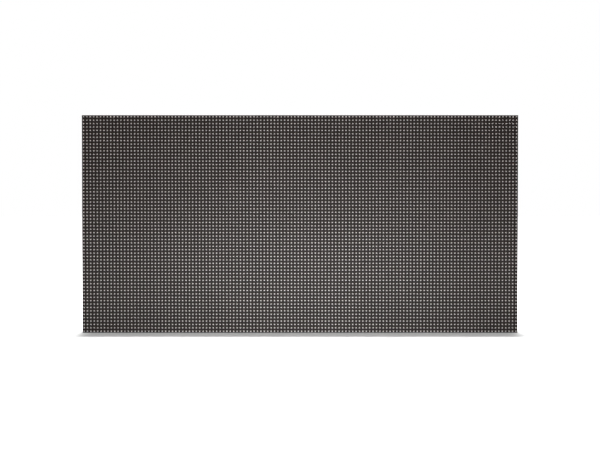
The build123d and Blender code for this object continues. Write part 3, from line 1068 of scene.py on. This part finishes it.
# %% [markdown]
# Pan-head screws hold the frame. The head's top is flat in the middle, with a cross recess whose walls
# slope inwards. A boolean could cut the cross, but filling the ring between the round edge and the cross
# outline gives clean faces at once. Each screw stands at its own angle, because nobody aligns them.

# %% Frame screws
SCREW_SIDES = 32
SHANK_RADIUS = 1.22 * MM
HEAD_HEIGHT = 1.7 * MM
HEAD_STEPS = ((0.06, 0.0), (0.0, 0.08), (0.0, 0.75), (0.12, 1.15), (0.38, 1.48))
# Reach of the cross's arms, half their width, and depth under the head's top
CROSS_LEVELS = ((1.22, 0.27, 0.0), (1.0, 0.22, 0.75), (0.55, 0.2, 1.0))


def cross_outline(reach, half, turn):
    """Twelve corners of a cross, counter-clockwise, turned by an angle."""
    quarter = [(reach, -half), (reach, half), (half, half)]
    outline = []
    for _ in range(4):
        outline += quarter
        quarter = [(-z, x) for x, z in quarter]
    cos, sin = math.cos(turn), math.sin(turn)
    return [(x * cos - z * sin, x * sin + z * cos) for x, z in outline]


def screw_profile(tip, top, head):
    """The outside of a screw from its tip to the flat of its head, as (radius, depth)."""
    seat = top - HEAD_HEIGHT
    profile = stepped(SHANK_RADIUS, tip, ((0.32, 0.0), (0.0, 0.35))) + [(SHANK_RADIUS, seat)]
    return profile + stepped(head, seat, HEAD_STEPS) + stepped(head, top, ((0.72, -0.03), (0.95, 0.0)))


def pan_head_screw(middle, size):
    """One closed screw: tip, shank, domed head and cross recess."""
    tip = middle.y - size.y / 2
    top = middle.y + size.y / 2
    turn = math.radians(20 + 37 * (middle.x + middle.z) / (10 * MM))
    grid = bmesh.new()

    def new_ring(outline, depth):
        return [grid.verts.new((middle.x + x, depth, middle.z + z)) for x, z in outline]

    def bridge(low, high):
        """Faces between two rings with as many points each."""
        for k in range(len(low)):
            grid.faces.new((low[k - 1], high[k - 1], high[k], low[k]))

    rings = [new_ring(circle(radius, SCREW_SIDES), y) for radius, y in screw_profile(tip, top, size.x / 2)]
    crosses = [
        new_ring(cross_outline(reach * MM, half * MM, turn), top - depth * MM)
        for reach, half, depth in CROSS_LEVELS
    ]
    grid.faces.new(rings[0])
    for stack in (rings, crosses):
        for low, high in zip(stack, stack[1:]):
            bridge(low, high)
    grid.faces.new(crosses[-1])
    loop = []
    for ring in (rings[-1], crosses[0]):
        loop += [grid.edges.get((ring[k], ring[(k + 1) % len(ring)])) for k in range(len(ring))]
    bmesh.ops.triangle_fill(grid, use_beauty=True, use_dissolve=False, edges=loop)
    bmesh.ops.recalc_face_normals(grid, faces=grid.faces)
    grid.verts.index_update()
    points = [tuple(v.co) for v in grid.verts]
    faces = [tuple(v.index for v in f.verts) for f in grid.faces]
    grid.free()
    return points, faces


screw_shapes = [pan_head_screw(middle, size) for middle, size in loose_parts("frame_screws")]
screw_piece = smoothed(mesh_piece("pan_head_screws", *joined(screw_shapes), (ZINC,), slot="screw_steel"))
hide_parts("frame_screws")

# %% [markdown]
# The mounting inserts are brass, with a hexagonal body that can't turn in the plastic and a metric thread
# inside. The thread is modelled as a stack of grooves: at this size nobody can tell it from a helix, and
# each insert stays one closed ring. Its bore is the inside of the solid, so those walls run the other way
# round than the hexagon's.

# %% Mounting inserts
BORE_RADIUS = 1.25 * MM
BORE_SIDES = 24
THREAD_STEP = 0.5 * MM
THREAD_ENDS = 0.9 * MM
GROOVE = ((0.0, 0.0), (-0.24, -0.2), (-0.24, -0.25), (0.0, -0.45))
HEX_CUT = 0.12 * MM
HEX_CORNER = 1 / math.cos(math.pi / 6)


def threaded_insert(middle, size):
    """A hexagonal bush with a grooved bore and a small chamfer at both mouths."""
    back = middle.y + size.y / 2
    front = middle.y - size.y / 2
    bore = stepped(BORE_RADIUS, back, ((-0.32, 0.0), (0.0, -0.3)))
    for n in range(int((size.y - THREAD_ENDS) / THREAD_STEP)):
        bore += stepped(BORE_RADIUS, back - 0.34 * MM - n * THREAD_STEP, GROOVE)
    bore += stepped(BORE_RADIUS, front, ((0.0, 0.3), (-0.3, 0.0)))
    corner = min(size.x, size.z) / 2 * HEX_CORNER
    rims = (
        (corner - HEX_CUT, back), (corner, back - HEX_CUT),
        (corner, front + HEX_CUT), (corner - HEX_CUT, front),
    )
    points = []
    for rows, sides in ((bore, BORE_SIDES), (rims, 6)):
        for radius, depth in rows:
            points += [(middle.x + x, depth, middle.z + z) for x, z in circle(radius, sides)]
    outer = len(bore) * BORE_SIDES
    faces = []
    for low in range(0, outer - BORE_SIDES, BORE_SIDES):
        faces += walls(BORE_SIDES, low)
    for low in (outer, outer + 6, outer + 12):
        faces += [face[::-1] for face in walls(6, low)]
    arc_length = BORE_SIDES // 6
    for hexagon, mouth, order in ((outer, 0, 1), (outer + 18, outer - BORE_SIDES, -1)):
        for k in range(6):
            arc = [mouth + (k * arc_length + j) % BORE_SIDES for j in range(arc_length + 1)]
            cap = (hexagon + (k + 1) % 6, hexagon + k, *arc)
            faces.append(cap[::order])
    return points, faces


insert_shapes = [threaded_insert(middle, size) for middle, size in loose_parts("mounting_inserts")]
insert_piece = smoothed(mesh_piece("threaded_inserts", *joined(insert_shapes), (BRASS,), slot="nut_brass"))
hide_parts("mounting_inserts")

# %% [markdown]
# Two brass pins guide the panel into its place on the cabinet. Each has a rounded nose and a fine groove
# where the stem leaves its hexagonal body. Hexagon and stem are turned from one bar, but two closed shapes
# that overlap inside look the same and need no join.

# %% Locating pins
PIN_FLATS = 3.0 * MM
PIN_BODY_BACK = -0.02 * MM
STEM_RADIUS = 2.5 * MM
STEM_START = ((0.25, -0.6), (0.25, 0.25), (0.0, 0.45))
STEM_NOSE = ((0.0, -0.62), (0.05, -0.46), (0.16, -0.28), (0.36, -0.1), (0.6, 0.0))


def locating_pin(middle, size):
    """The hexagonal body and the round stem, as two closed shapes."""
    front = middle.y - size.y / 2
    tip = middle.y + size.y / 2
    body = flat_prism(circle(PIN_FLATS * HEX_CORNER, 6), front, PIN_BODY_BACK, (middle.x, middle.z))
    profile = stepped(STEM_RADIUS, 0.0, STEM_START) + stepped(STEM_RADIUS, tip, STEM_NOSE)
    return joined([body, spun([(0.0, profile[0][1])] + profile + [(0.0, tip)], middle, 40)])


pin_shapes = [locating_pin(middle, size) for middle, size in loose_parts("locating_pins")]
pin_piece = smoothed(mesh_piece("brass_pins", *joined(pin_shapes), (BRASS,), slot="nut_brass"))
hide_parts("locating_pins")
print("inserts", len(insert_shapes), "pins", len(pin_shapes))

# %% [markdown]
# Copper tracks run under the black coating of the board and lift it by a few hundredths of a millimetre.
# Drawn into a texture they would blur in a close view. So `track` follows a route, and shifts its points
# to both sides. In a bend the shift is longer, which keeps the track's width even.

# %% One track
TRACK_HEIGHT = 0.035 * MM
LEAST_BEND = 0.3


def track(route, width):
    """A closed strip along a route of (x, z) points."""
    stops = [Vector(stop) for stop in route]
    steps = [(end - start).normalized() for start, end in zip(stops, stops[1:])]
    left = []
    right = []
    for (x, z), before, after in zip(route, steps[:1] + steps, steps + steps[-1:]):
        ahead = (before + after).normalized()
        stretch = 1.0 / max(LEAST_BEND, ahead.dot(after))
        across = Vector((-ahead.y, ahead.x)) * width / 2 * stretch
        left.append((x + across.x, z + across.y))
        right.append((x - across.x, z - across.y))
    return flat_prism(right + left[::-1], BOARD_BACK - SUNK, BOARD_BACK + TRACK_HEIGHT)


print("points of a straight track", len(track(((0.0, 0.0), (MM, 0.0)), 0.2 * MM)[0]))

# %% [markdown]
# From a driver's legs the tracks fan out to small plated holes, where they pass to the inner layers of
# the board. Legs near a chip's end have a longer way to the side. Holes stand in two staggered rows,
# because one row would be too tight to drill. Two legs of each row are supply legs and have no track.

# %% Tracks of the driver chips
TRACK_START = 0.85 * MM
SUPPLY_LEGS = (3, 8)
TRACK_WIDTH = 0.2 * MM
HOLE_RADIUS = 0.3 * MM
HOLE_HEIGHT = 0.05 * MM
FIRST_HOLES = 2.1 * MM
HOLE_STAGGER = 0.55 * MM
LAST_RUN = 0.2 * MM


def fan_route(x, z, side, offset, staggered):
    """A route from a leg to its hole: straight out, aside at 45 degrees, and straight out again."""
    out = 0.35 * MM + 0.16 * MM * abs(offset)
    slant = 0.30 * MM * abs(offset)
    aside = x + (slant if offset > 0 else -slant)
    last = max(FIRST_HOLES + (HOLE_STAGGER if staggered else 0.0), out + slant + LAST_RUN)
    return [(x, z), (x, z + side * out), (aside, z + side * (out + slant)), (aside, z + side * last)]


track_shapes = []
hole_shapes = []
for chip in drivers:
    for side in (-1, 1):
        for k, (x, z) in enumerate(leg_row(chip, DRIVER_ROW, side, TRACK_START)):
            if k in SUPPLY_LEGS:
                continue
            route = fan_route(x, z, side, k - (DRIVER_ROW[1] - 1) / 2, k % 2 == 1)
            track_shapes.append(track(route, TRACK_WIDTH))
            hole = circle(HOLE_RADIUS, 8)
            hole_shapes.append(flat_prism(hole, BOARD_BACK - SUNK, BOARD_BACK + HOLE_HEIGHT, route[-1]))
mesh_piece("driver_tracks", *joined(track_shapes), (COPPER_TRACK,), slot="board_mask")
mesh_piece("plated_holes", *joined(hole_shapes), (HOLE_RING,), slot="board_mask")

# %% [markdown]
# Long tracks carry the data from block to block, in bands of four or five. A real board has thousands.
# These few follow the same habits: straight runs, bends of 45 degrees and even spacing.

# %% Long tracks
# The middle of each band above or below the panel's middle, and its number of tracks
BANDS = ((28.0 * MM, 5), (44.0 * MM, 5), (60.6 * MM, 4))
BAND_SPACING = 0.62 * MM
LONG_WIDTH = 0.26 * MM
BEND = 1.0 * MM
LONG_RUNS = ((-150.0 * MM, -2.0 * MM), (2.0 * MM, 150.0 * MM))
long_shapes = []
for side in (-1, 1):
    for level, lines in BANDS:
        for n in range(lines):
            z = side * (level + (n - (lines - 1) / 2) * BAND_SPACING)
            bent = z + side * BEND
            for start, end in LONG_RUNS:
                middle_x = (start + end) / 2
                route = [(start, z), (middle_x - BEND, z), (middle_x, bent), (end, bent)]
                long_shapes.append(track(route, LONG_WIDTH))
mesh_piece("long_tracks", *joined(long_shapes), (COPPER_TRACK,), slot="board_mask")

# %% [markdown]
# The moulding carries the marks of its tool: round spots where ejector pins pushed it out, and an arrow
# on each side of the spine that shows which way is up when panels are hung in a wall. Raised plates that
# start inside the plastic give both, with no cut in the frame.

# %% Tool marks on the frame
FRAME_FLOOR = -6.5 * MM
MARK_ROOT = FRAME_FLOOR - 0.3 * MM
EJECTOR_RADIUS = 1.7 * MM
EJECTOR_SPACING = 24.0 * MM
EJECTOR_LEVEL = 73.9 * MM
ARROW = ((0.0, 4.2), (-3.2, 0.6), (-1.2, 0.6), (-1.2, -4.0), (1.2, -4.0), (1.2, 0.6), (3.2, 0.6))
ejector = circle(EJECTOR_RADIUS, 24)
arrow = [(x * MM, z * MM) for x, z in ARROW]
tool_shapes = []
for side in (-1, 1):
    for n in (-3, -2, -1, 1, 2, 3):
        place = (n * EJECTOR_SPACING, side * EJECTOR_LEVEL)
        tool_shapes.append(flat_prism(ejector, MARK_ROOT, FRAME_FLOOR + 0.12 * MM, place))
for side in (-1, 1):
    place = (side * EJECTOR_SPACING, 0.0)
    tool_shapes.append(flat_prism(arrow, MARK_ROOT, FRAME_FLOOR + 0.6 * MM, place))
mesh_piece("tool_marks", *joined(tool_shapes), (FRAME_BLACK,), slot="frame_plastic")

# %% [markdown]
# The board is glass-filled laminate under a black coating. Its cut edges show the laminate. Each lamp has
# two small plated holes behind it, so the back carries a fine even grid of dimples. They are far too many
# and too small to model, and come from the distance to the nearest hole in each cell of the lamp grid.

# %% Board finish
# Places, and the inner and outer edge of a hole's ring, are parts of the pitch
HOLE_OFFSETS = ((0.30, 0.34), (0.70, 0.66))
RING_OUTER = 0.10
RING_INNER = 0.065
COATING = 0.05 * MM
COAT_TONES = ((0.35, (0.0085, 0.0105, 0.0095)), (0.65, (0.0135, 0.0155, 0.0145)))
RING_TONE = (0.030, 0.032, 0.028)
LAMINATE_TONES = ((0.3, (0.060, 0.055, 0.030)), (0.7, (0.115, 0.105, 0.060)))


def make_board_finish():
    finish = Finish("board_coating", Specular_IOR_Level=0.25)
    place = finish.parts(finish.place)
    behind_front = finish.math("GREATER_THAN", place["Y"], BOARD_FRONT + COATING)
    before_back = finish.math("LESS_THAN", place["Y"], BOARD_BACK - COATING)
    core = finish.math("MULTIPLY", behind_front, before_back)
    across = finish.math("FRACT", finish.math("MULTIPLY", place["X"], 1.0 / PITCH))
    upward = finish.math("FRACT", finish.math("MULTIPLY", place["Z"], 1.0 / PITCH))
    squares = []
    for x, z in HOLE_OFFSETS:
        dx = finish.math("SUBTRACT", across, x)
        dz = finish.math("SUBTRACT", upward, z)
        squares.append(finish.math("ADD", finish.math("MULTIPLY", dx, dx), finish.math("MULTIPLY", dz, dz)))
    distance = finish.math("SQRT", finish.math("MINIMUM", *squares))
    ring = finish.span(distance, 0.0, 1.0, RING_OUTER, RING_INNER, interpolation_type="SMOOTHSTEP")
    blotch = finish.noise(45.0, 4.0)
    coat = finish.mix(ring, finish.ramp(blotch, COAT_TONES), RING_TONE)
    laminate = finish.ramp(finish.noise(2600.0), LAMINATE_TONES)
    finish.colour(finish.mix(core, coat, laminate))
    gloss = finish.span(blotch, 0.40, 0.52)
    finish.rough(finish.math("ADD", gloss, finish.math("MULTIPLY", core, 0.4)))
    finish.bump(ring, 0.6, 0.00004)
    return finish.material


BOARD_COAT = make_board_finish()
print("board finish nodes", len(BOARD_COAT.node_tree.nodes))

# %% [markdown]
# The board and the nuts keep their construction shapes: a board is a plain plate, and the nuts hide under
# the frame. The other nodes are replaced, but they still get the finish of the real part, so that nothing
# is left in a default grey if one of them is shown again.

# %% Give the construction nodes their finishes
node_finishes = {
    "circuit_board": BOARD_COAT,
    "rear_frame": FRAME_BLACK,
    "power_header": NYLON,
    "power_pins": TIN,
    "capacitor_bases": PLINTH,
    "capacitor_cans": ZINC,
    "board_nuts": BRASS,
    "mounting_inserts": BRASS,
    "locating_pins": BRASS,
    "frame_screws": ZINC,
}
for end in ("input", "output"):
    node_finishes[f"ribbon_socket_{end}"] = SOCKET_BLACK
    node_finishes[f"socket_pins_{end}"] = TIN
    node_finishes[f"buffer_chips_{end}"] = EPOXY
for half in ("upper", "lower"):
    node_finishes[f"row_chips_{half}"] = EPOXY
for block in range(BLOCKS):
    node_finishes[f"driver_chips_{block + 1}"] = EPOXY
for node, material in node_finishes.items():
    for slot in nodes[node].material_slots:
        slot.material = material
print("construction nodes finished", len(node_finishes))

# %% [markdown]
# The panel stands on its long edge on a plain white floor. The floor is a real diffuse surface, so it
# keeps the panel's shadow. A little light is added to what the camera and glossy rays see of it. That
# takes the lit floor and the backdrop to pure white with no more light on the panel. The added light
# starts low beside the panel and grows with the distance, or it would wash the shadow out. Where it is
# low it still paints the contact shadow lighter. Past the panel's ends it grows fast sideways, which
# paints out the ends of the shadow.

# %% Floor and backdrop
FLOOR_RADIUS = 4.0
NEAR_WHITE = 0.26
FADE_START = 0.12
FADE_END = 0.75
SHADOW_HALF_WIDTH = 0.147
SIDE_FADE = 30.0


def make_floor_finish():
    """Pale matt floor. Away from the panel, the camera and glossy rays see it as plain white."""
    finish = Finish(
        "white_floor", Roughness=0.9, Base_Color=(0.86, 0.86, 0.86, 1.0), Specular_IOR_Level=0.1,
        Emission_Color=(1.0, 1.0, 1.0, 1.0),
    )
    place = finish.parts(finish.place)
    # Painted white over the shadow: past this half width the added light grows fast sideways and paints out
    # the shadow's ends.
    beyond = finish.math("SUBTRACT", finish.math("ABSOLUTE", place["X"]), SHADOW_HALF_WIDTH)
    beyond = finish.math("MULTIPLY", finish.math("MAXIMUM", beyond, 0.0), SIDE_FADE)
    away = finish.math("MULTIPLY", beyond, beyond)
    away = finish.math("ADD", away, finish.math("MULTIPLY", place["Y"], place["Y"]))
    distance = finish.math("SQRT", away)
    fade = finish.span(
        distance, NEAR_WHITE, 1.0, FADE_START, FADE_END, interpolation_type="SMOOTHSTEP",
    )
    path = finish.node("ShaderNodeLightPath").outputs
    seen = finish.math("MAXIMUM", path["Is Camera Ray"], path["Is Glossy Ray"])
    seen = finish.math("MAXIMUM", seen, path["Is Transmission Ray"])
    finish.link(finish.math("MULTIPLY", seen, fade), finish.shader.inputs["Emission Strength"])
    return finish.material


bpy.ops.mesh.primitive_circle_add(
    vertices=64, radius=FLOOR_RADIUS, fill_type="NGON", location=(0, 0, FLOOR_LEVEL),
)
floor = bpy.context.object
floor.name = "white_floor"
floor.data.materials.append(make_floor_finish())
print("floor at", FLOOR_LEVEL)

# %% [markdown]
# The photograph doesn't show its lights, only what they do. The lamps' dots are brighter towards the lower
# edge, as if light came back from the table. So besides three large soft boxes there are two narrow ones,
# low in front of the panel, which the camera doesn't see. One sun lamp would be simpler, but it lights the
# whole face evenly.

# %% Lights
FACE_CENTRE = (0.0, MASK_FRONT, 0.0)
BODY_CENTRE = (0.0, 0.0, 0.0)
LOW_LEVEL = FLOOR_LEVEL + 11 * MM
EDGE_LEVEL = FLOOR_LEVEL + 8 * MM
# Name, place, what it points at, width, height, power in watts
FRONT_BOXES = (
    ("low_front_box", (0.0, MASK_FRONT - 0.31, LOW_LEVEL), (0.0, MASK_FRONT, LOW_LEVEL), 0.16, 0.014, 1.06),
    ("low_edge_box", (0.0, MASK_FRONT - 0.16, EDGE_LEVEL), (0.0, MASK_FRONT, EDGE_LEVEL), 0.4, 0.01, 0.202),
)
LARGE_BOXES = (
    ("top_box", (0.0, 0.30, 1.5), BODY_CENTRE, 0.35, 0.14, 28.0),
    ("front_fill", (1.1, -1.5, 0.5), FACE_CENTRE, 1.0, 1.0, 2.8),
    ("rear_box", (0.0, 1.3, 1.6), BODY_CENTRE, 0.9, 1.0, 17.0),
)


def area_lamp(name, place, target, width, height, power):
    """A rectangular light that points at a target."""
    light = bpy.data.lights.new(name, "AREA")
    light.shape = "RECTANGLE"
    light.size = width
    light.size_y = height
    light.energy = power
    lamp = bpy.data.objects.new(name, light)
    lamp.location = place
    lamp.rotation_euler = (Vector(target) - Vector(place)).to_track_quat("-Z", "Y").to_euler()
    bpy.context.scene.collection.objects.link(lamp)
    return lamp


for box in FRONT_BOXES:
    area_lamp(*box).visible_camera = False
for box in LARGE_BOXES:
    area_lamp(*box)
print("lights", len(FRONT_BOXES) + len(LARGE_BOXES))

# %% [markdown]
# Around the panel the camera sees plain white, but a white room on all sides would light the black face
# to grey. The world is therefore white for the camera and, behind the panel, for glossy rays. All other
# light that comes from it is dim.

# %% World
ROOM_LIGHT = 0.07


def make_studio_world():
    """White where the camera looks, and a soft room for all else: pale behind, dim in front."""
    world = bpy.data.worlds.new("studio")
    bpy.context.scene.world = world
    world.use_nodes = True
    tree = Nodes(world.node_tree)
    background = world.node_tree.nodes["Background"]
    path = tree.node("ShaderNodeLightPath").outputs
    place = tree.parts(tree.node("ShaderNodeTexCoord").outputs["Generated"])
    behind = tree.span(place["Y"], 0.0, 1.0, -0.5, 0.3)
    gloss = tree.math("MULTIPLY", path["Is Glossy Ray"], behind)
    seen = tree.math("MAXIMUM", path["Is Camera Ray"], path["Is Transmission Ray"])
    white = tree.math("MAXIMUM", seen, gloss)
    tree.link(tree.span(white, ROOM_LIGHT, 1.0), background.inputs["Strength"])
    background.inputs["Color"].default_value = (1.0, 1.0, 1.0, 1.0)
    return world


world = make_studio_world()
print("world", world.name)

# %% [markdown]
# The camera looks straight at the face, from a little above its middle: in the photograph the panel's
# lower edge is a third of a percent shorter than its upper edge, which at this distance is an angle of
# 1.5 degrees. The lens follows from the width that the picture takes in, so nothing is set by eye.

# %% Camera
CAMERA_DISTANCE = 1.3
CAMERA_ELEVATION = math.radians(1.5)
VIEW_WIDTH = 440.4 * MM
SENSOR = 36.0
AIM = Vector((0.0, MASK_FRONT, -0.6 * MM))
camera_data = bpy.data.cameras.new("camera")
camera_data.sensor_width = SENSOR
camera_data.lens = SENSOR * CAMERA_DISTANCE / VIEW_WIDTH
camera = bpy.data.objects.new("camera", camera_data)
camera.location = AIM + Vector((
    0.0,
    -CAMERA_DISTANCE * math.cos(CAMERA_ELEVATION),
    CAMERA_DISTANCE * math.sin(CAMERA_ELEVATION),
))
camera.rotation_euler = (AIM - camera.location).to_track_quat("-Z", "Y").to_euler()
bpy.context.scene.collection.objects.link(camera)
bpy.context.scene.camera = camera
bpy.context.scene.view_settings.view_transform = "Standard"
print("lens", camera_data.lens)
